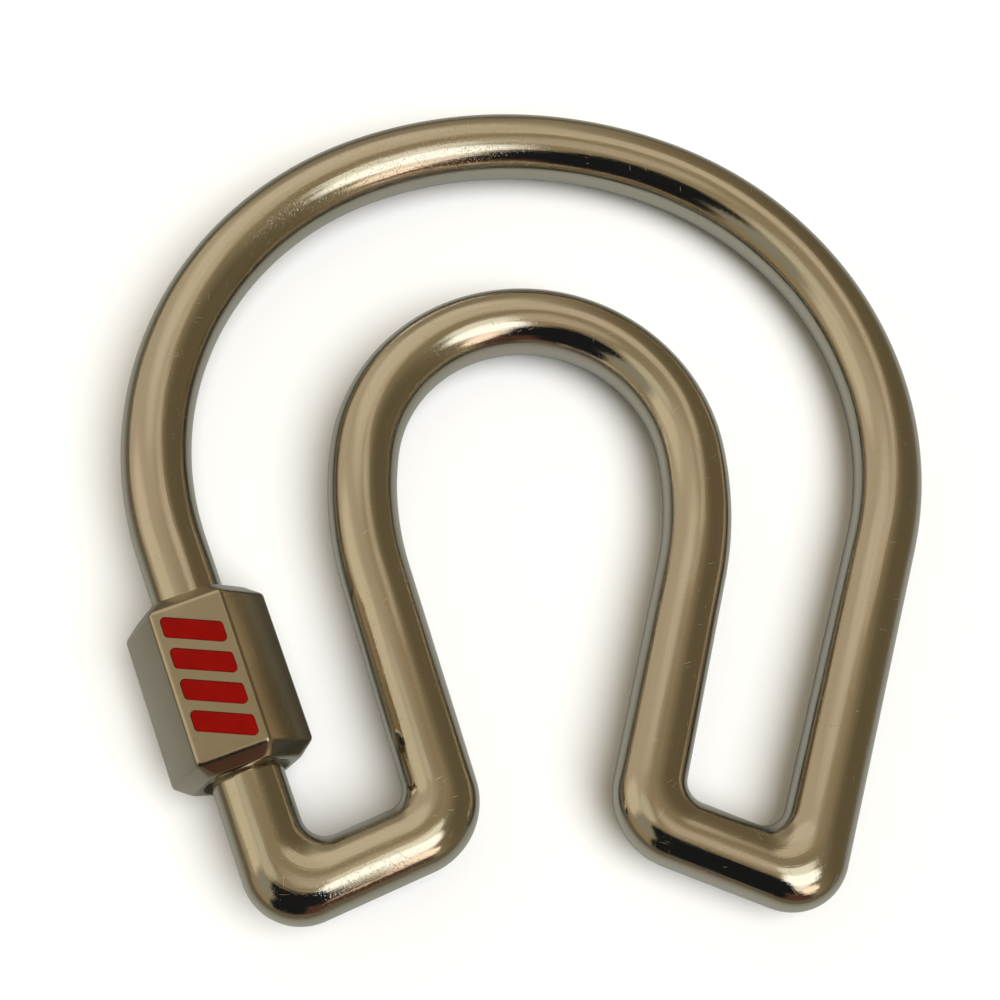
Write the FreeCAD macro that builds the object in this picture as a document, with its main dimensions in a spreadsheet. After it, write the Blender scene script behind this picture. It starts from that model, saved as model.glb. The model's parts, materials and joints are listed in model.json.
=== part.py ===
"""Screw-lock key ring: a round bar bent into a closed horseshoe loop, its gate shut by a hexagonal sleeve.

The ring lies flat: +X to the right, +Y towards the crown, +Z up out of the ring's plane.
The origin is the middle of the bounding box's underside, which is where the ring rests.
"""
import FreeCAD, Part
import math
import os

import Sketcher
from FreeCAD import Placement, Rotation, Vector

SIZES = {
    # the bent bar, measured on its centre line
    "bar_diameter": 5.0,
    "crown_radius": 30.3,
    "crown_half_angle": 22.3,
    "shoulder_radius": 24.8,
    "outer_leg_lean": 18.3,
    "outer_leg_run": 22.75,
    "heel_radius": 2.75,
    "foot_rise": 22.7,
    "toe_radius": 3.1,
    "inner_leg_run": 15.6,
    "inner_leg_lean": 15.2,
    "arch_side_radius": 24.15,
    "arch_radius": 12.1,
    "arch_half_angle": 82.7,
    "crown_height": 28.24,
    # the hexagonal screw sleeve, placed along the left outer leg from the leg's upper end
    "sleeve_start": 4.5,
    "sleeve_length": 12.7,
    "across_flats": 8.7,
    "sleeve_roll": 6.0,
    "end_bevel": 0.85,
    "edge_round": 0.3,
    "bore_diameter": 5.1,
    "mouth_diameter": 5.9,
    "mouth_depth": 0.5,
    "groove_diameter": 6.4,
    "groove_depth": 0.9,
    # the threaded ends inside the sleeve, and the gap between them
    "plain_in_top": 0.6,
    "top_thread_run": 6.1,
    "gate_gap": 3.8,
    "low_thread_run": 1.8,
    "thread_pitch": 0.5,
    "thread_cut": 0.28,
    "thread_flank_half": 0.23,
    "thread_run_in": 0.3,
    "thread_overcut": 0.03,
    "thread_end_bevel": 0.3,
    # the nylon friction ring in the sleeve's upper mouth
    "ring_inner_diameter": 5.08,
    "ring_outer_diameter": 6.3,
    "ring_thickness": 0.8,
    # the slanted enamel stripes let into one facet
    "stripe_count": 4,
    "stripe_width": 3.9,
    "stripe_height": 1.5,
    "stripe_pitch": 2.25,
    "stripe_rise": 1.8,
    "stripe_corner": 0.3,
    "enamel_depth": 0.35,
}

# a groove or pocket that takes away less than this many mm3 has missed
LEAST_CUT = 1.0

doc = FreeCAD.newDocument("ScrewLockKeyRing")
sheet = doc.addObject("Spreadsheet::Sheet", "Sizes")
for row, (alias, value) in enumerate(SIZES.items(), start=1):
    sheet.set(f"A{row}", alias)
    sheet.set(f"B{row}", str(value))
    sheet.setAlias(f"B{row}", alias)
doc.recompute()


def size(alias):
    return float(sheet.get(alias))


def unit(angle):
    return Vector(math.cos(math.radians(angle)), math.sin(math.radians(angle)), 0)


# ---------------------------------------------------------------- sketch helpers

def origin_plane(body, role):
    return next(f for f in body.Origin.OriginFeatures if f.Role == role)


def new_body(name):
    body = doc.addObject("PartDesign::Body", name)
    body.Label = name
    return body


def new_sketch(body, name, role):
    sketch = body.newObject("Sketcher::SketchObject", name)
    sketch.AttachmentSupport = [(origin_plane(body, role), "")]
    sketch.MapMode = "FlatFace"
    return sketch


def bind(sketch, index, name, expression):
    """Names a sketch constraint and binds it to the sheet."""
    sketch.renameConstraint(index, name)
    sketch.setExpression(f"Constraints.{name}", expression)


def add_circle(sketch, name, expression, radius, centre_x=0.0):
    circle = sketch.addGeometry(Part.Circle(Vector(centre_x, 0, 0), Vector(0, 0, 1), radius))
    bind(sketch, sketch.addConstraint(Sketcher.Constraint("Radius", circle, radius)), name, expression)
    return circle


def add_polygon(sketch, points):
    """Adds a closed outline of straight sides and returns the first side's index."""
    first = sketch.GeometryCount
    count = len(points)
    for i, point in enumerate(points):
        sketch.addGeometry(Part.LineSegment(point, points[(i + 1) % count]))
    for i in range(count):
        sketch.addConstraint(Sketcher.Constraint("Coincident", first + i, 2, first + (i + 1) % count, 1))
    return first


def place_corner(sketch, line, name, expression_x, expression_y, point):
    """Fixes the start of a line from the sketch's origin with sizes bound to the sheet."""
    for axis, value, expression in (("X", point.x, expression_x), ("Y", point.y, expression_y)):
        made = Sketcher.Constraint(f"Distance{axis}", -1, 1, line, 1, value)
        bind(sketch, sketch.addConstraint(made), f"{name}_{axis.lower()}", expression)


def edges_of(feature, wanted):
    """Names of the edges of a feature's shape that a test picks."""
    return [f"Edge{i}" for i, edge in enumerate(feature.Shape.Edges, start=1) if wanted(edge)]


def dress(body, kind, name, base, wanted, alias):
    """Adds a fillet or a chamfer to the edges that a test picks."""
    feature = body.newObject(f"PartDesign::{kind}", name)
    feature.Base = (base, edges_of(base, wanted))
    feature.setExpression("Radius" if kind == "Fillet" else "Size", f"Sizes.{alias}")
    doc.recompute()
    return feature


# ---------------------------------------------------------------- the bar's centre line

def half_loop_runs():
    """The right half of the loop from the crown's top to the arch's top.

    Each run is (name, length or radius alias, turn in degrees, turn expression); a turn to the right
    is negative. The foot's length has no alias: it follows from the arch's top being on the middle line.
    """
    lean, rise, inner = size("outer_leg_lean"), size("foot_rise"), size("inner_leg_lean")
    crown, arch = size("crown_half_angle"), size("arch_half_angle")
    return [
        ("crown", "crown_radius", -crown, "Sizes.crown_half_angle"),
        ("shoulder", "shoulder_radius", -(90 + lean - crown),
         "90 + Sizes.outer_leg_lean - Sizes.crown_half_angle"),
        ("outer_leg", "outer_leg_run", 0, None),
        ("heel", "heel_radius", -(90 + rise - lean), "90 + Sizes.foot_rise - Sizes.outer_leg_lean"),
        ("foot", None, 0, None),
        ("toe", "toe_radius", -(90 + inner - rise), "90 + Sizes.inner_leg_lean - Sizes.foot_rise"),
        ("inner_leg", "inner_leg_run", 0, None),
        ("arch_side", "arch_side_radius", 90 + inner - arch,
         "90 + Sizes.inner_leg_lean - Sizes.arch_half_angle"),
        ("arch", "arch_radius", arch, "Sizes.arch_half_angle"),
    ]


def trace(runs, foot_length):
    """Walks the runs from the crown's top and returns each run's start, heading and size, and the end."""
    point, heading, walked = Vector(0, size("crown_height"), 0), 0.0, []
    for name, alias, turn, _ in runs:
        reach = size(alias) if alias else foot_length
        walked.append((point, heading, reach, turn))
        if turn:
            side = math.copysign(90, turn)
            centre = point + unit(heading + side) * reach
            heading += turn
            point = centre - unit(heading + side) * reach
        else:
            point = point + unit(heading) * reach
    return walked, point


def foot_length(runs):
    """The foot's straight length that brings the arch's top onto the middle line."""
    heading_at_foot = sum(turn for _, _, turn, _ in runs[:4])
    return -trace(runs, 0.0)[1].x / unit(heading_at_foot).x


def draw_half_loop(sketch, runs):
    """Draws the half loop as tangent lines and arcs, constrained by the sheet's sizes."""
    walked, _ = trace(runs, foot_length(runs))
    ends = []
    for (name, alias, _, turn_expression), (point, heading, reach, turn) in zip(runs, walked):
        if turn:
            side = math.copysign(90, turn)
            centre = point + unit(heading + side) * reach
            first, last = sorted((heading - side, heading - side + turn))
            circle = Part.Circle(centre, Vector(0, 0, 1), reach)
            run = sketch.addGeometry(Part.ArcOfCircle(circle, math.radians(first), math.radians(last)))
            ends.append((run, 1, 2) if turn > 0 else (run, 2, 1))
            radius = sketch.addConstraint(Sketcher.Constraint("Radius", run, reach))
            bind(sketch, radius, f"{name}_radius", f"Sizes.{alias}")
            angle = sketch.addConstraint(Sketcher.Constraint("Angle", run, math.radians(abs(turn))))
            bind(sketch, angle, f"{name}_angle", f"({turn_expression}) * 1 deg")
        else:
            run = sketch.addGeometry(Part.LineSegment(point, point + unit(heading) * reach))
            ends.append((run, 1, 2))
            if alias:
                length = sketch.addConstraint(Sketcher.Constraint("Distance", run, reach))
                bind(sketch, length, f"{name}_length", f"Sizes.{alias}")
    for (run, _, last), (following, first, _) in zip(ends, ends[1:]):
        sketch.addConstraint(Sketcher.Constraint("Tangent", run, last, following, first))
    crown, start, _ = ends[0]
    arch, _, stop = ends[-1]
    sketch.addConstraint(Sketcher.Constraint("PointOnObject", crown, start, -2))
    sketch.addConstraint(Sketcher.Constraint("PointOnObject", crown, 3, -2))
    sketch.addConstraint(Sketcher.Constraint("PointOnObject", arch, stop, -2))
    height = sketch.addConstraint(
        Sketcher.Constraint("DistanceY", -1, 1, crown, start, size("crown_height")))
    bind(sketch, height, "crown_height", "Sizes.crown_height")


def left_leg_top():
    """Upper end of the left outer leg, mirrored from the right one, and the way up the leg."""
    start, heading, _, _ = trace(half_loop_runs(), 0.0)[0][2]
    down = unit(heading)
    return Vector(-start.x, start.y, 0), Vector(down.x, -down.y, 0)


def ring_height():
    """Height of the ring's plane: the rolled sleeve's lowest edge rests at zero."""
    rounding = size("edge_round")
    corner = (size("across_flats") / 2 - rounding) / math.cos(math.radians(30))
    return corner * math.cos(math.radians(30 - size("sleeve_roll"))) + rounding


def on_leg(distance, roll=0.0):
    """Placement on the left outer leg: local +Z runs up the leg and local +Y out of the ring's plane.

    A roll leans local +Y outwards, away from the loop.
    """
    top, up = left_leg_top()
    across = Vector(0, 0, 1).cross(up)
    turn = Rotation(across, Vector(0, 0, 1), up, "ZXY").multiply(Rotation(Vector(0, 0, 1), -roll))
    return Placement(top - up * distance + Vector(0, 0, ring_height()), turn)


# ---------------------------------------------------------------- the sub-parts

def make_ring_bar():
    """The bent bar: half the loop swept, mirrored, and cut away where the threaded ends and gate are."""
    body = new_body("loop")
    path = new_sketch(body, "loop_path", "XY_Plane")
    draw_half_loop(path, half_loop_runs())
    section = new_sketch(body, "bar_section", "YZ_Plane")
    circle = add_circle(section, "bar_radius", "Sizes.bar_diameter / 2", size("bar_diameter") / 2,
                        size("crown_height"))
    section.addConstraint(Sketcher.Constraint("PointOnObject", circle, 3, -1))
    centre = section.addConstraint(
        Sketcher.Constraint("DistanceX", -1, 1, circle, 3, size("crown_height")))
    bind(section, centre, "crown_height", "Sizes.crown_height")
    doc.recompute()
    pipe = body.newObject("PartDesign::AdditivePipe", "half_loop")
    pipe.Profile = section
    pipe.Spine = (path, [])
    doc.recompute()
    mirrored = body.newObject("PartDesign::Mirrored", "whole_loop")
    mirrored.Originals = [pipe]
    mirrored.MirrorPlane = (origin_plane(body, "YZ_Plane"), [""])
    body.Tip = mirrored
    body.Placement = Placement(Vector(0, 0, ring_height()), Rotation())
    doc.recompute()

    cutter = doc.addObject("Part::Cylinder", "gate_cut")
    cutter.setExpression("Radius", "Sizes.bar_diameter")
    cutter.setExpression("Height", "Sizes.top_thread_run + Sizes.gate_gap + Sizes.low_thread_run")
    cutter.Placement = on_leg(low_thread_start())
    bar = doc.addObject("Part::Cut", "ring_bar")
    bar.Base = body
    bar.Tool = cutter
    bar.Label = "ring_bar"
    return bar


def top_thread_start():
    """Distance down the leg of the upper plain end, where its thread begins."""
    return size("sleeve_start") + size("plain_in_top")


def low_thread_start():
    """Distance down the leg of the lower plain end, where its thread begins."""
    return top_thread_start() + size("top_thread_run") + size("gate_gap") + size("low_thread_run")


def make_thread_end(name, length_alias, placement):
    """A threaded bar end standing on the XY plane, its free end up, with a right-hand helical groove."""
    length, radius, cut = size(length_alias), size("bar_diameter") / 2, size("thread_cut")
    body = new_body(name)
    section = new_sketch(body, f"{name}_section", "XY_Plane")
    circle = add_circle(section, "bar_radius", "Sizes.bar_diameter / 2", radius)
    section.addConstraint(Sketcher.Constraint("Coincident", circle, 3, -1, 1))
    pad = body.newObject("PartDesign::Pad", f"{name}_pad")
    pad.Profile = section
    pad.setExpression("Length", f"Sizes.{length_alias}")
    doc.recompute()
    bevel = dress(body, "Chamfer", f"{name}_bevel", pad,
                  lambda edge: edge.CenterOfMass.z > length - 1e-6, "thread_end_bevel")
    # the groove's section starts just below the end face, so the thread runs off both ends
    flank = new_sketch(body, f"{name}_flank", "XZ_Plane")
    outside = radius + size("thread_overcut")
    half_width, drop = size("thread_flank_half"), size("thread_run_in")
    corners = [Vector(outside, -drop - half_width, 0), Vector(outside, -drop + half_width, 0),
               Vector(radius - cut, -drop, 0)]
    first = add_polygon(flank, corners)
    crest = "Sizes.bar_diameter / 2 + Sizes.thread_overcut"
    place_corner(flank, first, "lower", crest, "-Sizes.thread_run_in - Sizes.thread_flank_half", corners[0])
    place_corner(flank, first + 1, "upper", crest, "-Sizes.thread_run_in + Sizes.thread_flank_half",
                 corners[1])
    place_corner(flank, first + 2, "root", "Sizes.bar_diameter / 2 - Sizes.thread_cut",
                 "-Sizes.thread_run_in", corners[2])
    groove = body.newObject("PartDesign::SubtractiveHelix", f"{name}_groove")
    groove.Profile = flank
    groove.ReferenceAxis = (flank, ["V_Axis"])
    groove.Mode = 0
    groove.setExpression("Pitch", "Sizes.thread_pitch")
    groove.setExpression("Height", f"Sizes.{length_alias} + 2 * Sizes.thread_run_in")
    doc.recompute()
    if groove.Shape.Volume > bevel.Shape.Volume - LEAST_CUT:
        raise RuntimeError(f"the groove of {name} cuts nothing")
    body.Placement = placement
    return body


def stripe_outline(index):
    """Corners of one slanted stripe on its facet, in the facet's own X and Z, counted from the foot end."""
    half, rise = size("stripe_width") / 2, size("stripe_rise") / 2
    middle = size("sleeve_length") / 2 + (index - (size("stripe_count") - 1) / 2) * size("stripe_pitch")
    low, high = middle - size("stripe_height") / 2, middle + size("stripe_height") / 2
    return [Vector(-half, low - rise, 0), Vector(half, low + rise, 0),
            Vector(half, high + rise, 0), Vector(-half, high - rise, 0)]


def draw_stripe(sketch, index):
    """One stripe's outline, each corner's place bound to the sheet."""
    middle = (f"Sizes.sleeve_length / 2 + ({index} - (Sizes.stripe_count - 1) / 2)"
              " * Sizes.stripe_pitch")
    corners = stripe_outline(index)
    first = add_polygon(sketch, corners)
    for i, corner in enumerate(corners):
        side = "-" if corner.x < 0 else "+"
        edge = "-" if i < 2 else "+"
        place_corner(sketch, first + i, f"stripe_{index}_{i}", f"{side}1 * Sizes.stripe_width / 2",
                     f"{middle} {edge} Sizes.stripe_height / 2 {side} Sizes.stripe_rise / 2", corner)


def facet_sketch(body, name):
    """A sketch on the plane of the enamelled facet, which faces local +Y."""
    sketch = new_sketch(body, name, "XZ_Plane")
    sketch.setExpression("AttachmentOffset.Base.z", "-Sizes.across_flats / 2")
    return sketch


def is_pocket_corner(edge):
    """True for the short straight edges that run into the enamelled facet."""
    low, high = (vertex.Point for vertex in edge.Vertexes[:1] + edge.Vertexes[-1:])
    along_y = abs(abs(high.y - low.y) - size("enamel_depth")) < 1e-6
    return along_y and abs(high.x - low.x) < 1e-6 and abs(high.z - low.z) < 1e-6


def bore_outline():
    """Half section of the stepped bore as (radius, height), the foot end at zero height."""
    length, lead = size("sleeve_length"), (size("mouth_diameter") - size("bore_diameter")) / 2
    bore, mouth, groove = size("bore_diameter") / 2, size("mouth_diameter") / 2, size("groove_diameter") / 2
    lip = length - size("mouth_depth")
    shelf = lip - size("groove_depth")
    clear = 1.0
    return [(0, -clear), (mouth + clear, -clear), (bore, lead), (bore, shelf), (groove, shelf),
            (groove, lip), (mouth, lip), (mouth, length + clear), (0, length + clear)]


def make_sleeve():
    """The hexagonal sleeve, standing on the XY plane with its foot end down."""
    length, corner = size("sleeve_length"), size("across_flats") / math.sqrt(3)
    body = new_body("hex_sleeve")
    outline = new_sketch(body, "hexagon", "XY_Plane")
    first = add_polygon(outline, [unit(60 * i) * corner for i in range(6)])
    circle = add_circle(outline, "corner_radius", "Sizes.across_flats / sqrt(3)", corner)
    outline.toggleConstruction(circle)
    outline.addConstraint(Sketcher.Constraint("Coincident", circle, 3, -1, 1))
    for i in range(6):
        outline.addConstraint(Sketcher.Constraint("PointOnObject", first + i, 1, circle))
    for i in range(5):
        outline.addConstraint(Sketcher.Constraint("Equal", first + i, first + i + 1))
    outline.addConstraint(Sketcher.Constraint("PointOnObject", first, 1, -1))
    pad = body.newObject("PartDesign::Pad", "sleeve_blank")
    pad.Profile = outline
    pad.setExpression("Length", "Sizes.sleeve_length")
    doc.recompute()

    def at_end(edge):
        return abs(edge.CenterOfMass.z * (edge.CenterOfMass.z - length)) < 1e-6

    bevel = dress(body, "Chamfer", "sleeve_bevel", pad, at_end, "end_bevel")
    rounded = dress(body, "Fillet", "sleeve_round", bevel, lambda edge: True, "edge_round")

    profile = new_sketch(body, "bore_profile", "XZ_Plane")
    add_polygon(profile, [Vector(x, z, 0) for x, z in bore_outline()])
    bore = body.newObject("PartDesign::Groove", "sleeve_bore")
    bore.Profile = profile
    bore.ReferenceAxis = (profile, ["V_Axis"])
    doc.recompute()

    stripes = facet_sketch(body, "stripe_outlines")
    for index in range(int(size("stripe_count"))):
        draw_stripe(stripes, index)
    pocket = body.newObject("PartDesign::Pocket", "stripe_pockets")
    pocket.Profile = stripes
    pocket.Reversed = True
    pocket.setExpression("Length", "Sizes.enamel_depth")
    doc.recompute()
    if pocket.Shape.Volume > bore.Shape.Volume - LEAST_CUT:
        raise RuntimeError("the enamel pockets cut nothing")
    dress(body, "Fillet", "pocket_corners", pocket, is_pocket_corner, "stripe_corner")
    body.Placement = on_leg(size("sleeve_start") + length, size("sleeve_roll"))
    return body


def make_stripe(index, placement):
    """The enamel that fills one pocket, flush with the facet."""
    name = f"enamel_stripe_{index + 1}"
    body = new_body(name)
    sketch = facet_sketch(body, f"{name}_outline")
    draw_stripe(sketch, index)
    pad = body.newObject("PartDesign::Pad", f"{name}_pad")
    pad.Profile = sketch
    pad.setExpression("Length", "Sizes.enamel_depth")
    doc.recompute()
    dress(body, "Fillet", f"{name}_corners", pad, is_pocket_corner, "stripe_corner")
    body.Placement = placement
    return body


def make_friction_ring():
    """The nylon ring that grips the bar in the sleeve's upper mouth."""
    outer = doc.addObject("Part::Cylinder", "ring_outside")
    inner = doc.addObject("Part::Cylinder", "ring_inside")
    for cylinder, alias in ((outer, "ring_outer_diameter"), (inner, "ring_inner_diameter")):
        cylinder.setExpression("Radius", f"Sizes.{alias} / 2")
        cylinder.setExpression("Height", "Sizes.ring_thickness")
    ring = doc.addObject("Part::Cut", "friction_ring")
    ring.Base = outer
    ring.Tool = inner
    ring.Label = "friction_ring"
    side_play = (size("groove_depth") - size("ring_thickness")) / 2
    depth = size("mouth_depth") + size("groove_depth") - side_play
    ring.Placement = on_leg(size("sleeve_start") + depth)
    return ring


def flipped(placement):
    """The same place with local +Z pointing down the leg."""
    return placement.multiply(Placement(Vector(), Rotation(Vector(1, 0, 0), 180)))


sleeve = make_sleeve()
parts = [
    make_ring_bar(),
    make_thread_end("upper_threaded_end", "top_thread_run", flipped(on_leg(top_thread_start()))),
    make_thread_end("lower_threaded_end", "low_thread_run", on_leg(low_thread_start())),
    make_friction_ring(),
    sleeve,
]
parts += [make_stripe(index, sleeve.Placement) for index in range(int(size("stripe_count")))]
doc.recompute()

for item in doc.Objects:
    if {"Invalid", "Error"} & set(item.State):
        raise RuntimeError(f"{item.Name} failed: {item.State}")
for item in parts:
    if item.Shape.isNull() or not item.Shape.isValid():
        raise RuntimeError(f"{item.Label} has no valid shape")

os.makedirs("parts", exist_ok=True)
for item in parts:
    item.Shape.exportStep(os.path.join("parts", f"{item.Label}.step"))
    box = item.Shape.optimalBoundingBox()
    print(f"{item.Label:20s} solids {len(item.Shape.Solids)} volume {item.Shape.Volume:9.3f} mm3 "
          f"x {box.XMin:.2f}..{box.XMax:.2f} y {box.YMin:.2f}..{box.YMax:.2f} "
          f"z {box.ZMin:.2f}..{box.ZMax:.2f}")
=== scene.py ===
"""Looks of the screw-lock key ring: a polished horseshoe bar, its satin hex sleeve and the red enamel.

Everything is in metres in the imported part's own frame: +X right, +Y towards the crown, +Z up.
"""

import json
import math

import bmesh
import bpy
from mathutils import Euler, Matrix, Vector


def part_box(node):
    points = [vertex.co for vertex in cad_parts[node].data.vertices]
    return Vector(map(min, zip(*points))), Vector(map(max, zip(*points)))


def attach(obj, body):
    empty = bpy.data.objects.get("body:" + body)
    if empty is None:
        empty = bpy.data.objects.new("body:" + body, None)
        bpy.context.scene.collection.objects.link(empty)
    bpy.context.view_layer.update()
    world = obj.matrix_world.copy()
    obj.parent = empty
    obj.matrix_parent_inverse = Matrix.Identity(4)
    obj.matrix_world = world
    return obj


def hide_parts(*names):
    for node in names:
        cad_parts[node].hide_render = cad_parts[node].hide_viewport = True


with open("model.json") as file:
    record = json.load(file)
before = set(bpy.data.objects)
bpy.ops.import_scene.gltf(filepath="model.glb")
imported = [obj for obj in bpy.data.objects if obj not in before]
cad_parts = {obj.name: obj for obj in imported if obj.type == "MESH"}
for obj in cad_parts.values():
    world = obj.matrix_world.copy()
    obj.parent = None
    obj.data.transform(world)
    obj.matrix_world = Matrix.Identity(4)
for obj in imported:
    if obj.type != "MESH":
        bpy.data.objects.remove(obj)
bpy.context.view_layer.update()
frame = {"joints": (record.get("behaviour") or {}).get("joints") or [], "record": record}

MM = 0.001
Z = Vector((0, 0, 1))

# ---------------------------------------------------------------- sizes shared with the part, in mm

BAR_RADIUS = 2.5
CROWN_RADIUS, CROWN_TURN = 30.3, 44.6
SHOULDER_RADIUS, SHOULDER_TURN = 24.8, 86.0
OUTER_LEAN, INNER_LEAN, FOOT_RISE = 18.3, 15.2, 22.7
OUTER_LEG, INNER_LEG = 25.72, 18.32          # straight lengths, up to the corner's vertex
ARCH_SIDE_RADIUS, ARCH_SIDE_TURN = 24.15, 22.5
ARCH_RADIUS, ARCH_TURN = 12.1, 165.4
# plain lengths of the left outer leg: from its top to the upper thread, and from the heel's vertex up
UPPER_PLAIN, LOWER_PLAIN = 5.1, 8.92
# a corner is fuller outside than a bent tube: radii of the lines behind its outer and inner outline
HEEL_RADII = (1.6, 4.2)
TOE_RADII = (2.65, 3.95)

ACROSS_FLATS, SLEEVE_LENGTH = 8.7, 12.7
FACET_ROUND, END_BEVEL, BEVEL_ROUND = 0.42, 0.92, 0.5
CORNER_GROWTH = 0.7                          # how much rounder the corners are for each mm up the bevel
BORE, MOUTH, GROOVE = 2.55, 2.95, 3.2        # radii of the sleeve's stepped bore
MOUTH_DEPTH, GROOVE_DEPTH = 0.5, 0.9
RING_THICKNESS, RING_INSIDE, RING_OUTSIDE = 0.8, 2.54, 3.15
# the threaded ends, as heights along the sleeve's axis from its middle: root, then free end
THREADS = {"upper_threaded_end": (5.75, -0.35), "lower_threaded_end": (-5.95, -4.15)}
THREAD_PITCH, THREAD_CUT, THREAD_END_BEVEL = 0.5, 0.28, 0.3
THREAD_STEEPNESS = 2.24                      # the groove reaches its depth 1 / 2.24 of a pitch from the crest
STRIPES, STRIPE_WIDTH, STRIPE_HEIGHT = 4, 3.9, 1.5
STRIPE_PITCH, STRIPE_RISE, STRIPE_CORNER = 2.25, 1.8, 0.3
ENAMEL_DEPTH = 0.35

# ---------------------------------------------------------------- fineness of the meshes

LINE_STEP = 0.5                              # mm along the bar's straight runs
ARC_STEP, CORNER_STEP = 1.2, 3               # degrees along its arcs and its corners
BAR_AROUND, TURNED_AROUND = 64, 96           # points round the bar, and round the threads and the nylon
CRISP_ANGLE = 35                             # degrees between faces, over which the sleeve's edges are crisp

# ---------------------------------------------------------------- places read from the frame

bar_low, bar_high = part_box("ring_bar")
CROWN_TOP = Vector((0, bar_high.y - BAR_RADIUS * MM, (bar_low.z + bar_high.z) / 2))
turn_joint = next(j for j in frame["joints"] if j["name"] == "sleeve_turn")
SLEEVE_MIDDLE = Vector(turn_joint["pos_m"])
UP_LEG = Vector(turn_joint["axis"]).normalized()
underside = next(m for m in frame["record"]["mounts"] if m["name"] == "sleeve_underside")
FACET_OUT = -Vector(underside["axis"]).normalized()


def on_sleeve(x, y, z):
    """A point of the sleeve's own frame in mm: z up the leg from its middle, y out of the enamelled facet."""
    return SLEEVE_MIDDLE + (FACET_OUT.cross(UP_LEG) * x + FACET_OUT * y + UP_LEG * z) * MM


def heading_vector(angle):
    """The level unit vector at an angle in degrees: 0 is +X, 90 is +Y."""
    return Vector((math.cos(math.radians(angle)), math.sin(math.radians(angle)), 0))


# ---------------------------------------------------------------- mesh helpers

def new_piece(name, mesh, body, replaced, material):
    """Links a mesh as a piece of the object: its body and the CAD node it stands for."""
    piece = bpy.data.objects.new(name, mesh)
    bpy.context.scene.collection.objects.link(piece)
    mesh.materials.append(material)
    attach(piece, body)
    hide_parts(replaced)
    return piece


def loft(name, rings, closed, lengths=None):
    """A smooth skin over rings of points; an open one gets end caps.

    With the rings' lengths along it, in mm, its UVs are in mm along and around.
    """
    mesh = bpy.data.meshes.new(name)
    count = len(rings[0])
    spans = len(rings) if closed else len(rings) - 1
    faces = []
    for i in range(spans):
        low, high = i * count, (i + 1) % len(rings) * count
        for k in range(count):
            after = (k + 1) % count
            faces.append((low + k, low + after, high + after, high + k))
    if not closed:
        faces.append(tuple(reversed(range(count))))
        faces.append(tuple(range((len(rings) - 1) * count, len(rings) * count)))
    mesh.from_pydata([tuple(point) for ring in rings for point in ring], [], faces)
    skin = spans * count
    mesh.polygons.foreach_set("use_smooth", [i < skin for i in range(len(faces))])
    if lengths:
        layer = mesh.uv_layers.new(name="surface_mm")
        girth = 2 * math.pi * BAR_RADIUS / count
        for i in range(skin):
            span, k = divmod(i, count)
            corners = ((span, k), (span, k + 1), (span + 1, k + 1), (span + 1, k))
            for loop, (ring, step) in zip(mesh.polygons[i].loop_indices, corners):
                layer.data[loop].uv = (lengths[ring], step * girth)
    mesh.update()
    return mesh


def lathe_rings(profile):
    """Rings turned about the sleeve's axis from (radius, height) pairs."""
    angles = [2 * math.pi * k / TURNED_AROUND for k in range(TURNED_AROUND)]
    return [[on_sleeve(radius * math.cos(a), radius * math.sin(a), height) for a in angles]
            for radius, height in profile]


def apply_modifiers(piece):
    graph = bpy.context.evaluated_depsgraph_get()
    mesh = bpy.data.meshes.new_from_object(piece.evaluated_get(graph))
    piece.modifiers.clear()
    piece.data = mesh


def even_shading(piece):
    """Shades the piece smooth, with its edges crisp and its flats flat."""
    piece.data.polygons.foreach_set("use_smooth", [True] * len(piece.data.polygons))
    piece.data.set_sharp_from_angle(angle=math.radians(CRISP_ANGLE))
    weigh = piece.modifiers.new("even_shading", "WEIGHTED_NORMAL")
    weigh.keep_sharp = True
    apply_modifiers(piece)


# ---------------------------------------------------------------- the bent bar

def foot_vertex_length():
    """The foot's length between its corners' vertices, from the arch's top being on the middle line."""
    def sine(angle):
        return math.sin(math.radians(angle))

    crown_side = CROWN_RADIUS * sine(CROWN_TURN / 2)
    shoulder = SHOULDER_RADIUS * (sine(90 + OUTER_LEAN) - sine(CROWN_TURN / 2))
    heel = crown_side + shoulder - OUTER_LEG * sine(OUTER_LEAN)
    arch = ARCH_RADIUS * sine(ARCH_TURN / 2)
    arch += ARCH_SIDE_RADIUS * (sine(90 + INNER_LEAN) - sine(ARCH_TURN / 2))
    toe = arch - INNER_LEG * sine(INNER_LEAN)
    return (heel - toe) / math.cos(math.radians(FOOT_RISE))


def bar_runs():
    """The bar from its upper plain end, round the crown and the arch, to its lower plain end.

    Each run is (kind, size, turn to the left): a line's length, an arc's radius or a corner's two radii.
    """
    foot = ("line", foot_vertex_length(), 0)
    heel = ("corner", HEEL_RADII, -(90 + FOOT_RISE - OUTER_LEAN))
    toe = ("corner", TOE_RADII, -(90 + INNER_LEAN - FOOT_RISE))
    shoulder = ("arc", SHOULDER_RADIUS, -SHOULDER_TURN)
    arch_side = ("arc", ARCH_SIDE_RADIUS, ARCH_SIDE_TURN)
    return [
        ("line", UPPER_PLAIN, 0), shoulder, ("arc", CROWN_RADIUS, -CROWN_TURN), shoulder,
        ("line", OUTER_LEG, 0), heel, foot, toe, ("line", INNER_LEG, 0),
        arch_side, ("arc", ARCH_RADIUS, ARCH_TURN), arch_side,
        ("line", INNER_LEG, 0), toe, foot, heel, ("line", LOWER_PLAIN, 0),
    ]


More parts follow.
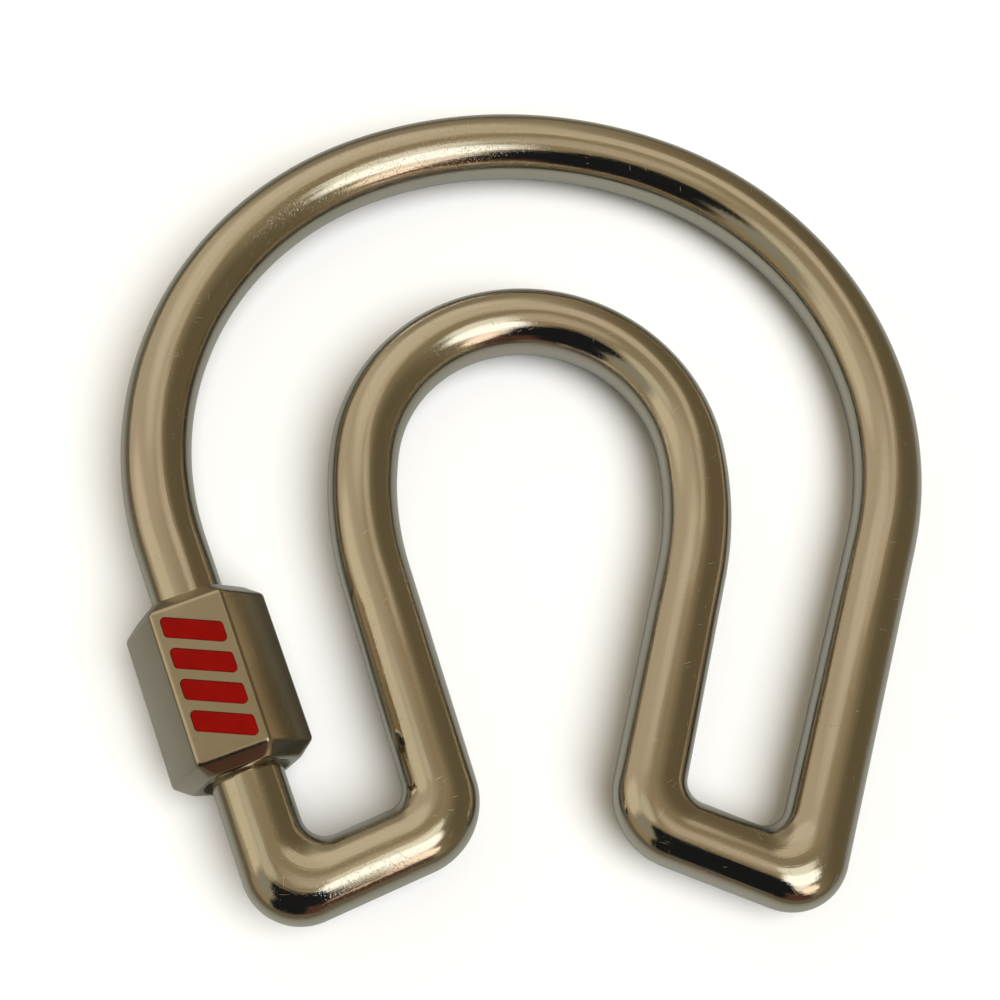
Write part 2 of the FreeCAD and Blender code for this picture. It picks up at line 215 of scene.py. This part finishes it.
def outline(runs, side):
    """The bar's edge on one side (+1 left, -1 right): the two sides' points pair up."""
    pick = 0 if side > 0 else 1
    heading, point = 90 + OUTER_LEAN, Vector((0, 0, 0))
    walked = []
    for i, (kind, size, turn) in enumerate(runs):
        if kind == "line":
            length = size
            for beside, radii, bend in runs[max(i - 1, 0):i] + runs[i + 1:i + 2]:
                if beside == "corner":
                    length -= radii[pick] * math.tan(math.radians(abs(bend) / 2))
            steps = round(size / LINE_STEP)
            walked += [(point + heading_vector(heading) * length * k / steps, heading) for k in range(steps)]
            point = point + heading_vector(heading) * length
            continue
        radius, degrees_each = (size, ARC_STEP) if kind == "arc" else (size[pick], CORNER_STEP)
        steps = round(abs(turn) / degrees_each)
        hand = math.copysign(90, turn)
        centre = point + heading_vector(heading + hand) * radius
        for k in range(steps):
            now = heading + turn * k / steps
            walked.append((centre - heading_vector(now + hand) * radius, now))
        heading += turn
        point = centre - heading_vector(heading + hand) * radius
    walked.append((point, heading))
    return [place + heading_vector(angle + 90) * side * BAR_RADIUS for place, angle in walked]


def make_bar(material):
    """The bar's skin: at each station an oval spans from the inner to the outer outline."""
    runs = bar_runs()
    # the walk starts at the upper plain end, so the crown's top is found from the first arc's centre
    leg_top = heading_vector(90 + OUTER_LEAN) * UPPER_PLAIN
    shoulder_centre = leg_top + heading_vector(OUTER_LEAN) * SHOULDER_RADIUS
    crown_centre = shoulder_centre - heading_vector(90 + CROWN_TURN / 2) * (CROWN_RADIUS - SHOULDER_RADIUS)
    crown = crown_centre + Vector((0, CROWN_RADIUS, 0))
    seam = -0.25                                                # turns: the seam lies underneath
    angles = [2 * math.pi * (k / BAR_AROUND + seam) for k in range(BAR_AROUND)]
    rings, lengths, walked, before = [], [], 0.0, None
    for left, right in zip(outline(runs, 1), outline(runs, -1)):
        centre, half = (left + right) / 2 - crown, (left - right) / 2
        walked += (centre - before).length if before else 0.0
        before = centre
        lengths.append(walked)
        rings.append([CROWN_TOP + (centre + half * math.cos(t) + Z * BAR_RADIUS * math.sin(t)) * MM
                      for t in angles])
    mesh = loft("polished_bar", rings, closed=False, lengths=lengths)
    return new_piece("polished_bar", mesh, "ring", "ring_bar", material)


# ---------------------------------------------------------------- the threaded ends

def make_thread(node, material):
    """A bar end with its right-hand thread, rooted at the plain bar and bevelled at the free end."""
    root, free = THREADS[node]
    steps_per_turn = 14
    low, high = min(root, free), max(root, free)
    steps = round((high - low) / THREAD_PITCH * steps_per_turn)
    rings = []
    for i in range(steps + 1):
        height = low + (high - low) * i / steps
        bevelled = BAR_RADIUS - max(0, THREAD_END_BEVEL - abs(free - height))
        ring = []
        for k in range(TURNED_AROUND):
            phase = (height / THREAD_PITCH - k / TURNED_AROUND) % 1
            groove = THREAD_CUT * min(1, THREAD_STEEPNESS * (0.5 - abs(phase - 0.5)))
            radius = min(bevelled, BAR_RADIUS - groove)
            angle = 2 * math.pi * k / TURNED_AROUND
            ring.append(on_sleeve(radius * math.cos(angle), radius * math.sin(angle), height))
        rings.append(ring)
    mesh = loft(node + "_thread", rings, closed=False)
    return new_piece(node + "_thread", mesh, "ring", node, material)


# ---------------------------------------------------------------- the sleeve, its ring and its enamel

def hexagon(apothem, rounding):
    """A rounded hexagon with a facet facing +Y, made of the same number of points at every size."""
    per_side, per_corner = 10, 8
    points = []
    corner = (apothem - rounding) / math.cos(math.radians(30))
    half = (apothem - rounding) * math.tan(math.radians(30))
    for side in range(6):
        facing = 90 + 60 * side
        out, along = heading_vector(facing), heading_vector(facing + 90)
        points += [out * apothem + along * half * (2 * k / per_side - 1) for k in range(per_side)]
        centre = heading_vector(facing + 30) * corner
        points += [centre + heading_vector(facing + 60 * k / per_corner) * rounding
                   for k in range(per_corner)]
    return points


def end_profile():
    """The rounded 45 degree bevel at a sleeve end as (distance from the end, inset), facet first."""
    steps = 6
    soft = BEVEL_ROUND * math.tan(math.radians(22.5))
    reach = END_BEVEL + soft
    profile = []
    for k in range(steps + 1):
        angle = math.radians(45 * k / steps)
        profile.append((reach - BEVEL_ROUND * math.sin(angle), BEVEL_ROUND * (1 - math.cos(angle))))
    for k in range(steps + 1):
        angle = math.radians(45 + 45 * k / steps)
        profile.append((BEVEL_ROUND * (1 - math.sin(angle)), reach - BEVEL_ROUND * math.cos(angle)))
    return profile


def stripe_corners(index):
    """Corners of one slanted stripe on the facet, in the sleeve's x and z."""
    half, rise = STRIPE_WIDTH / 2, STRIPE_RISE / 2
    middle = (index - (STRIPES - 1) / 2) * STRIPE_PITCH
    low, high = middle - STRIPE_HEIGHT / 2, middle + STRIPE_HEIGHT / 2
    return [Vector((-half, low - rise)), Vector((half, low + rise)),
            Vector((half, high + rise)), Vector((-half, high - rise))]


def rounded_outline(corners, radius, inset):
    """The corners' outline moved inwards by inset, each corner turned with an arc."""
    points, per_corner, least_bend = [], 8, 0.05
    count = len(corners)
    for i, corner in enumerate(corners):
        into = (corner - corners[i - 1]).normalized()
        away = (corners[(i + 1) % count] - corner).normalized()
        turn = math.acos(max(-1, min(1, into.dot(away))))
        normal_in, normal_away = Vector((-into.y, into.x)), Vector((-away.y, away.x))
        bisector = (normal_in + normal_away).normalized()
        bend = max(radius - inset, least_bend)
        centre = corner + bisector * (bend + inset) / math.cos(turn / 2)
        start = math.atan2(-normal_in.y, -normal_in.x)
        for k in range(per_corner + 1):
            angle = start + turn * k / per_corner
            points.append(centre + Vector((math.cos(angle), math.sin(angle))) * bend)
    return points


def stripe_rings(index, levels):
    """Rings of one stripe from (inset, height over the facet) pairs."""
    face = ACROSS_FLATS / 2
    return [[on_sleeve(p.x, face + height, p.y)
             for p in rounded_outline(stripe_corners(index), STRIPE_CORNER, inset)]
            for inset, height in levels]


def make_sleeve(material):
    """The hexagonal sleeve with soft bevelled ends, its stepped bore and the enamel's pockets."""
    half, apothem = SLEEVE_LENGTH / 2, ACROSS_FLATS / 2
    soft = 0.08                                                 # the bore's broken edges
    levels = [(drop - half, inset) for drop, inset in reversed(end_profile())]
    levels += [(half - drop, inset) for drop, inset in end_profile()]
    rings = [[on_sleeve(p.x, p.y, height)
              for p in hexagon(apothem - inset, FACET_ROUND + CORNER_GROWTH * inset)]
             for height, inset in levels]
    directions = [p.normalized() for p in hexagon(apothem, FACET_ROUND)]
    lip = half - MOUTH_DEPTH
    shelf = lip - GROOVE_DEPTH
    bore = [(MOUTH + soft, half), (MOUTH, half - soft), (MOUTH, lip), (GROOVE, lip), (GROOVE, shelf),
            (BORE, shelf), (BORE, MOUTH - BORE - half), (MOUTH, soft - half), (MOUTH + soft, -half)]
    rings += [[on_sleeve(d.x * radius, d.y * radius, height) for d in directions]
              for radius, height in bore]
    mesh = loft("screw_sleeve", rings, closed=True)
    sleeve = new_piece("screw_sleeve", mesh, "sleeve", "hex_sleeve", material)
    clearance, proud = 0.02, 0.5
    pockets = []
    for index in range(STRIPES):
        walls = stripe_rings(index, [(-clearance, proud), (-clearance, -ENAMEL_DEPTH)])
        pocket = bpy.data.objects.new("pocket", loft("pocket", walls, closed=False))
        bpy.context.scene.collection.objects.link(pocket)
        pockets.append(pocket)
        cut = sleeve.modifiers.new("pocket", "BOOLEAN")
        cut.operation, cut.solver, cut.object = "DIFFERENCE", "EXACT", pocket
    apply_modifiers(sleeve)
    for pocket in pockets:
        bpy.data.objects.remove(pocket)
    even_shading(sleeve)
    return sleeve


def make_enamel(index, material):
    """One enamel stripe: it fills its pocket and stands a hair proud, with a soft rim."""
    rim = [(0.0, -0.05), (0.015, -0.02), (0.05, 0.0), (0.12, 0.008), (0.3, 0.012)]
    rings = stripe_rings(index, [(0.0, -ENAMEL_DEPTH)] + rim)
    name = f"enamel_fill_{index + 1}"
    mesh = loft(name, rings[::-1], closed=False)
    mesh.polygons.foreach_set("use_smooth", [True] * len(mesh.polygons))
    return new_piece(name, mesh, "sleeve", f"enamel_stripe_{index + 1}", material)


def make_lock_ring(material):
    """The nylon friction ring in the sleeve's upper mouth, its four edges rounded."""
    top = SLEEVE_LENGTH / 2 - MOUTH_DEPTH - (GROOVE_DEPTH - RING_THICKNESS) / 2
    bottom, soft = top - RING_THICKNESS, 0.12
    corners = ((RING_OUTSIDE - soft, top - soft), (RING_INSIDE + soft, top - soft),
               (RING_INSIDE + soft, bottom + soft), (RING_OUTSIDE - soft, bottom + soft))
    profile, steps = [], 4
    for i, (radius, height) in enumerate(corners):
        for k in range(steps + 1):
            turn = heading_vector(90 * (i + k / steps))
            profile.append((radius + turn.x * soft, height + turn.y * soft))
    mesh = loft("friction_ring_soft", lathe_rings(profile), closed=True)
    return new_piece("friction_ring_soft", mesh, "lock_ring", "friction_ring", material)


# ---------------------------------------------------------------- materials

# colours; each pair is the two ends of a mottling
BAR_TINTS = (0.67, 0.60, 0.485), (0.61, 0.555, 0.45)
BAR_BLUSH = (0.68, 0.57, 0.50)                                  # a rosier cast here and there
SLEEVE_TINTS = (0.565, 0.495, 0.385), (0.515, 0.445, 0.345)
THREAD_TINTS = (0.56, 0.505, 0.405), (0.53, 0.475, 0.38)
ENAMEL_TINTS = (0.225, 0.0014, 0.0005), (0.19, 0.001, 0.0004)
NYLON_TINTS = (0.012, 0.012, 0.013), (0.03, 0.03, 0.032)
PAPER = (0.92, 0.92, 0.92)
# painted shade: the floor's paper as the polish reflects it, darker than it is lit
PAPER_SHADE_PAINTED_FOR_POLISH = (0.335, 0.36, 0.36), (0.135, 0.12, 0.09)      # close to the metal, and further off
DARK = (0.013, 0.0145, 0.0165)                                  # the dark side of the room, and the card

# stretches of the bar that other keys have rubbed: distance along it to the middle and reach, in mm, and
# how worn they are
RUBBED = ((42, 19, 1.0), (236, 9, 0.6))
LEAST_WEAR = 0.25                                               # away from those stretches


def rgb(red, green, blue):
    return (red, green, blue, 1.0)


class Nodes:
    """Short names for building a node tree. A noise lies mostly between 0.3 and 0.7."""

    def __init__(self, tree):
        self.tree = tree
        tree.nodes.clear()

    def add(self, kind, **settings):
        """A new shader node of this kind, with its own settings."""
        node = self.tree.nodes.new("ShaderNode" + kind)
        for key, value in settings.items():
            setattr(node, key, value)
        return node

    def link(self, source, target):
        self.tree.links.new(source, target)

    def put(self, socket, value):
        """Links an output to an input, or sets the input's own value."""
        if isinstance(value, bpy.types.NodeSocket):
            self.link(value, socket)
        else:
            socket.default_value = value

    def maths(self, operation, a, b=0.0):
        node = self.add("Math", operation=operation)
        self.put(node.inputs[0], a)
        self.put(node.inputs[1], b)
        return node.outputs[0]

    def spread(self, value, low, high, to_low=0.0, to_high=1.0, smooth=False):
        """The value with its stretch from low to high spread over another, and held at its ends."""
        node = self.add("MapRange", interpolation_type="SMOOTHSTEP" if smooth else "LINEAR")
        for socket, given in zip(node.inputs[:5], (value, low, high, to_low, to_high)):
            self.put(socket, given)
        return node.outputs[0]

    def scaled(self, vector, scale):
        node = self.add("Mapping")
        self.put(node.inputs["Vector"], vector)
        node.inputs["Scale"].default_value = scale
        return node.outputs[0]

    def turned(self, vector, angle):
        node = self.add("Mapping")
        self.put(node.inputs["Vector"], vector)
        node.inputs["Rotation"].default_value = (0, 0, math.radians(angle))
        return node.outputs[0]

    def noise(self, vector, scale, detail=2.0, distortion=0.0):
        node = self.add("TexNoise")
        self.put(node.inputs["Vector"], vector)
        node.inputs["Scale"].default_value = scale
        node.inputs["Detail"].default_value = detail
        node.inputs["Distortion"].default_value = distortion
        return node.outputs["Fac"]

    def mix(self, factor, a, b):
        node = self.add("Mix", data_type="RGBA")
        self.put(node.inputs["Factor"], factor)
        self.put(node.inputs["A"], a)
        self.put(node.inputs["B"], b)
        return node.outputs["Result"]

    def mottling(self, factor, tints):
        """A colour between two tints."""
        return self.mix(factor, rgb(*tints[0]), rgb(*tints[1]))

    def hairlines(self, surface, angle, scale):
        """Sparse straight scratches, about 1 mm long, at an angle to the bar: 1 on a line, 0 elsewhere."""
        streaks = self.noise(self.scaled(self.turned(surface, angle), (0.35, 9.0, 1)), scale, detail=1)
        return self.spread(streaks, 0.75, 0.80)

    def bump(self, height, depth, below=None):
        """A normal for a height that is this many mm where it reaches 1, on top of another bump's normal."""
        node = self.add("Bump")
        node.inputs["Strength"].default_value = 1.0
        node.inputs["Distance"].default_value = depth * MM
        self.put(node.inputs["Height"], height)
        if below:
            self.put(node.inputs["Normal"], below)
        return node.outputs[0]


def new_material(name):
    """A material with one Principled shader, its nodes and that shader."""
    material = bpy.data.materials.new(name)
    material.use_nodes = True
    nodes = Nodes(material.node_tree)
    shader = nodes.add("BsdfPrincipled")
    nodes.link(shader.outputs[0], nodes.add("OutputMaterial").inputs["Surface"])
    return material, nodes, shader


def polished_metal():
    """The bar's polish: hairlines drawn along it, a slow waviness, short scratches and rubbed specks."""
    material, nodes, shader = new_material("polished_champagne_metal")
    surface = nodes.add("UVMap", uv_map="surface_mm").outputs[0]
    place = nodes.add("TexCoord").outputs["Object"]
    hairs = nodes.noise(nodes.scaled(surface, (0.12, 4.5, 1)), 2.2, detail=4)
    drawn = nodes.noise(nodes.scaled(surface, (0.05, 1.1, 1)), 1.3, detail=3, distortion=0.4)
    waves = nodes.noise(place, 140, detail=1)
    specks = nodes.spread(nodes.noise(nodes.scaled(surface, (3.6, 2.8, 1)), 2.0, detail=2), 0.57, 0.78)
    along = nodes.add("SeparateXYZ")
    nodes.link(surface, along.inputs[0])
    worn = LEAST_WEAR
    for middle, reach, most in RUBBED:
        away = nodes.maths("ABSOLUTE", nodes.maths("SUBTRACT", along.outputs["X"], middle))
        rubbed = nodes.spread(away, reach, reach * 0.3, 0.0, most, smooth=True)
        worn = nodes.maths("MAXIMUM", worn, rubbed)
    patchy = nodes.spread(nodes.noise(place, 160, detail=2), 0.3, 0.6, 0.45, 1.0)
    worn = nodes.maths("MULTIPLY", worn, patchy)
    scratches = nodes.maths("MAXIMUM", nodes.hairlines(surface, 24, 1.9), nodes.hairlines(surface, -63, 1.5))
    tint = nodes.mottling(nodes.spread(drawn, 0.35, 0.65), BAR_TINTS)
    blush = nodes.spread(nodes.noise(place, 90, detail=2), 0.5, 0.72, 0.0, 0.5)
    nodes.put(shader.inputs["Base Color"], nodes.mix(blush, tint, rgb(*BAR_BLUSH)))
    shader.inputs["Metallic"].default_value = 1.0
    rough = nodes.spread(hairs, 0.3, 0.75, 0.045, 0.10)
    rough = nodes.maths("ADD", rough, nodes.maths("MULTIPLY", worn, 0.03))
    rough = nodes.maths("ADD", rough, nodes.maths("MULTIPLY", scratches, 0.3))
    nodes.put(shader.inputs["Roughness"], rough)
    normal = nodes.bump(waves, 0.06)
    normal = nodes.bump(hairs, 0.006, below=normal)
    normal = nodes.bump(nodes.maths("MULTIPLY", specks, worn), 0.01, below=normal)
    nodes.put(shader.inputs["Normal"], nodes.bump(scratches, -0.006, below=normal))
    return material


def satin_metal():
    """The sleeve: the same metal, brushed less bright, with a fine grain."""
    material, nodes, shader = new_material("satin_champagne_metal")
    place = nodes.add("TexCoord").outputs["Object"]
    cloud = nodes.noise(place, 260, detail=3)
    grain = nodes.noise(place, 4200, detail=4)
    nodes.put(shader.inputs["Base Color"], nodes.mottling(nodes.spread(cloud, 0.3, 0.7), SLEEVE_TINTS))
    shader.inputs["Metallic"].default_value = 1.0
    nodes.put(shader.inputs["Roughness"], nodes.spread(grain, 0.3, 0.75, 0.15, 0.22))
    nodes.put(shader.inputs["Normal"], nodes.bump(grain, 0.0012))
    return material


def cut_metal():
    """The threads: the bar's metal with a fine machined grain."""
    material, nodes, shader = new_material("cut_thread_metal")
    place = nodes.add("TexCoord").outputs["Object"]
    grain = nodes.noise(place, 5000, detail=2)
    nodes.put(shader.inputs["Base Color"], nodes.mottling(nodes.spread(grain, 0.3, 0.7), THREAD_TINTS))
    shader.inputs["Metallic"].default_value = 1.0
    nodes.put(shader.inputs["Roughness"], nodes.spread(grain, 0.3, 0.75, 0.17, 0.22))
    return material


def red_enamel():
    """The enamel: a deep red with little shine and a slight unevenness."""
    material, nodes, shader = new_material("red_enamel")
    place = nodes.add("TexCoord").outputs["Object"]
    cloud = nodes.noise(place, 900, detail=3)
    nodes.put(shader.inputs["Base Color"], nodes.mottling(nodes.spread(cloud, 0.3, 0.7), ENAMEL_TINTS))
    shader.inputs["Specular IOR Level"].default_value = 0.12
    nodes.put(shader.inputs["Roughness"], nodes.spread(cloud, 0.3, 0.7, 0.36, 0.46))
    nodes.put(shader.inputs["Normal"], nodes.bump(cloud, 0.006))
    return material


def black_nylon():
    """The friction ring's nylon."""
    material, nodes, shader = new_material("black_nylon")
    grain = nodes.noise(nodes.add("TexCoord").outputs["Object"], 3000, detail=2)
    nodes.put(shader.inputs["Base Color"], nodes.mottling(grain, NYLON_TINTS))
    shader.inputs["Roughness"].default_value = 0.55
    return material


# ---------------------------------------------------------------- floor, light and camera

def resting_plane(pieces):
    """The plane the pieces rest on: the lower face of their convex hull that lies under their middle."""
    nearly_level = 0.98                                         # the least upward part of its normal
    hull = bmesh.new()
    for piece in pieces:
        for vertex in piece.data.vertices:
            hull.verts.new(vertex.co)
    bmesh.ops.convex_hull(hull, input=hull.verts, use_existing_faces=False)
    places = [vertex.co for vertex in pieces[0].data.vertices]
    middle = sum(places, Vector()) / len(places)
    for face in hull.faces:
        a, b, c = (vertex.co for vertex in face.verts[:3])
        normal = (b - a).cross(c - a).normalized()
        if abs(normal.z) < nearly_level or a.z > middle.z:
            continue
        if normal.z < 0:
            normal = -normal
        under = middle - normal * (middle - a).dot(normal)
        sides = [(q - p).cross(under - p).dot(normal) for p, q in ((a, b), (b, c), (c, a))]
        if min(sides) > 0 or max(sides) < 0:
            point = a.copy()
            hull.free()
            return point, normal
    raise RuntimeError("the pieces have no face to rest on")


def pale_paper():
    """The floor's paper. The polish sees it dimmer than the camera does, a painted shade, and dimmer still
    further off.
    """
    material = bpy.data.materials.new("pale_paper")
    material.use_nodes = True
    nodes = Nodes(material.node_tree)
    paper = nodes.add("BsdfPrincipled")
    paper.inputs["Base Color"].default_value = rgb(*PAPER)
    paper.inputs["Roughness"].default_value = 0.9
    reflected = nodes.add("BsdfDiffuse")
    ray = nodes.add("LightPath")
    # painted shade: glossy rays see the paper darker, and darker still the longer the ray
    away = nodes.spread(ray.outputs["Ray Length"], 6 * MM, 22 * MM)
    nodes.put(reflected.inputs["Color"], nodes.mottling(away, PAPER_SHADE_PAINTED_FOR_POLISH))
    either = nodes.add("MixShader")
    nodes.link(ray.outputs["Is Glossy Ray"], either.inputs[0])
    nodes.link(paper.outputs[0], either.inputs[1])
    nodes.link(reflected.outputs[0], either.inputs[2])
    nodes.link(either.outputs[0], nodes.add("OutputMaterial").inputs["Surface"])
    return material


def make_sheet(name, corners, material):
    """A flat sheet of the set, which isn't part of the object."""
    mesh = bpy.data.meshes.new(name)
    mesh.from_pydata(corners, [], [tuple(range(len(corners)))])
    mesh.materials.append(material)
    sheet = bpy.data.objects.new(name, mesh)
    bpy.context.scene.collection.objects.link(sheet)
    return sheet


def make_floor(pieces):
    """A plain pale sheet under the object, a hair below the plane that it rests on."""
    half, gap = 4.0, 0.01 * MM
    corners = [(-half, -half, 0), (half, -half, 0), (half, half, 0), (-half, half, 0)]
    floor = make_sheet("floor", corners, pale_paper())
    point, normal = resting_plane(pieces)
    turn = Z.rotation_difference(normal).to_matrix().to_4x4()
    floor.matrix_world = Matrix.Translation(point - normal * gap) @ turn


def toward(azimuth, elevation):
    """A unit vector by compass angle (0 is +X, 90 is +Y) and elevation in degrees."""
    flat = heading_vector(azimuth) * math.cos(math.radians(elevation))
    return flat + Z * math.sin(math.radians(elevation))


BACKDROP = (0.985, 0.985, 0.975)
ROOM_BASE = (0.35, 0.29, 0.18)
# patches over that: azimuth and elevation of the middle, outer and inner radius, all in degrees, and the
# colour. A later one covers an earlier one.
ROOM = (
    (15, 5, 75, 35, (0.16, 0.13, 0.075)),           # the dim wall on the right
    (135, 22, 62, 30, (0.55, 0.48, 0.35)),          # the beige wall behind the crown, on the left
    (95, 2, 30, 12, (0.30, 0.26, 0.18)),            # its darker foot
    (107, 45, 26, 15, (0.72, 0.65, 0.50)),          # its lighter upper parts
    (74, 57, 16, 8, (0.66, 0.58, 0.43)),
    (178, 29, 24, 12, (0.75, 0.67, 0.50)),
    (190, 60, 15, 8, (0.64, 0.60, 0.46)),
    (212, 32, 20, 10, (0.32, 0.31, 0.25)),          # its shaded end
    (285, 82, 16, 6, (0.58, 0.50, 0.37)),           # the ceiling near the window
    (284, 4, 26, 15, (0.11, 0.052, 0.036)),         # reddish wood, low down in front
    (250, 14, 25, 18, DARK),
    (248, 42, 21, 16, DARK),
    (232, 48, 13, 8, DARK),
    (264, 36, 19, 14, (0.016, 0.016, 0.017)),
    (294, 35, 10, 6, (1.15, 1.08, 0.93)),           # the window
    (307, 52, 18, 12, (1.7, 1.75, 1.7)),
    (330, 69, 11, 7, (1.1, 1.1, 0.95)),
    (304, 24, 11, 8, (1.6, 1.34, 1.12)),
)


def make_world():
    """The room that the polish reflects, behind a plain pale backdrop for the camera."""
    world = bpy.data.worlds.new("room")
    bpy.context.scene.world = world
    world.use_nodes = True
    nodes = Nodes(world.node_tree)
    direction = nodes.add("TexCoord").outputs["Generated"]
    colour = rgb(*ROOM_BASE)
    for azimuth, elevation, outer, inner, shade in ROOM:
        dot = nodes.add("VectorMath", operation="DOT_PRODUCT")
        nodes.put(dot.inputs[0], direction)
        dot.inputs[1].default_value = toward(azimuth, elevation)
        rim, core = (math.cos(math.radians(radius)) for radius in (outer, inner))
        patch = nodes.spread(dot.outputs["Value"], rim, core, smooth=True)
        colour = nodes.mix(patch, colour, rgb(*shade))
    seen = nodes.add("LightPath").outputs["Is Camera Ray"]
    background = nodes.add("Background")
    nodes.put(background.inputs["Color"], nodes.mix(seen, colour, rgb(*BACKDROP)))
    nodes.link(background.outputs[0], nodes.add("OutputWorld").inputs["Surface"])


# a dark card standing in front of the feet, in mm: its place along Y, and its corners across and up
CARD_PLACE = -141.7
CARD_CORNERS = ((-30, 50), (52, 50), (48, 140), (26, 178), (-30, 205))


def make_card():
    """A dark card that only the polish sees: it is near, so each part of the bar reflects it elsewhere."""
    material = bpy.data.materials.new("dark_card")
    material.use_nodes = True
    nodes = Nodes(material.node_tree)
    dark = nodes.add("Emission")
    dark.inputs["Color"].default_value = rgb(*DARK)
    nodes.link(dark.outputs[0], nodes.add("OutputMaterial").inputs["Surface"])
    corners = [Vector((across, CARD_PLACE, height)) * MM for across, height in CARD_CORNERS]
    card = make_sheet("dark_card", corners, material)
    card.visible_camera = card.visible_diffuse = card.visible_shadow = card.visible_transmission = False


# the sun: its azimuth and elevation and its breadth, in degrees, its strength and its colour
SUN_TOWARD, SUN_BREADTH = (318, 66), 50
SUN_STRENGTH, SUN_COLOUR = 2.7, (0.955, 0.975, 1.0)


def make_lights():
    """A broad soft sun from the window's side, kept out of the metal, which reflects the room alone."""
    sun = bpy.data.lights.new("key", "SUN")
    sun.angle = math.radians(SUN_BREADTH)
    sun.energy = SUN_STRENGTH
    sun.color = SUN_COLOUR
    lamp = bpy.data.objects.new("key", sun)
    lamp.rotation_euler = toward(*SUN_TOWARD).to_track_quat("Z", "Y").to_euler()
    lamp.visible_glossy = False
    bpy.context.scene.collection.objects.link(lamp)


# where the camera stands, in metres, how it is turned from looking straight down, in degrees, and its lens
CAMERA_PLACE = (-0.015958, -0.046735, 0.125820)
CAMERA_TURN = (20.692, -5.559, -2.361)
LENS, SENSOR_WIDTH = 64.8, 36.0


def make_camera():
    data = bpy.data.cameras.new("camera")
    data.lens = LENS
    data.sensor_width = SENSOR_WIDTH
    data.clip_start = 10 * MM
    camera = bpy.data.objects.new("camera", data)
    camera.location = CAMERA_PLACE
    camera.rotation_euler = Euler([math.radians(angle) for angle in CAMERA_TURN], "XYZ")
    bpy.context.scene.collection.objects.link(camera)
    bpy.context.scene.camera = camera


# ---------------------------------------------------------------- the scene

bar = make_bar(polished_metal())
thread_material = cut_metal()
for thread_node in THREADS:
    make_thread(thread_node, thread_material)
make_lock_ring(black_nylon())
sleeve = make_sleeve(satin_metal())
enamel_material = red_enamel()
for stripe in range(STRIPES):
    make_enamel(stripe, enamel_material)

make_floor([bar, sleeve])
make_world()
make_card()
make_lights()
make_camera()
bpy.context.scene.view_settings.view_transform = "Standard"
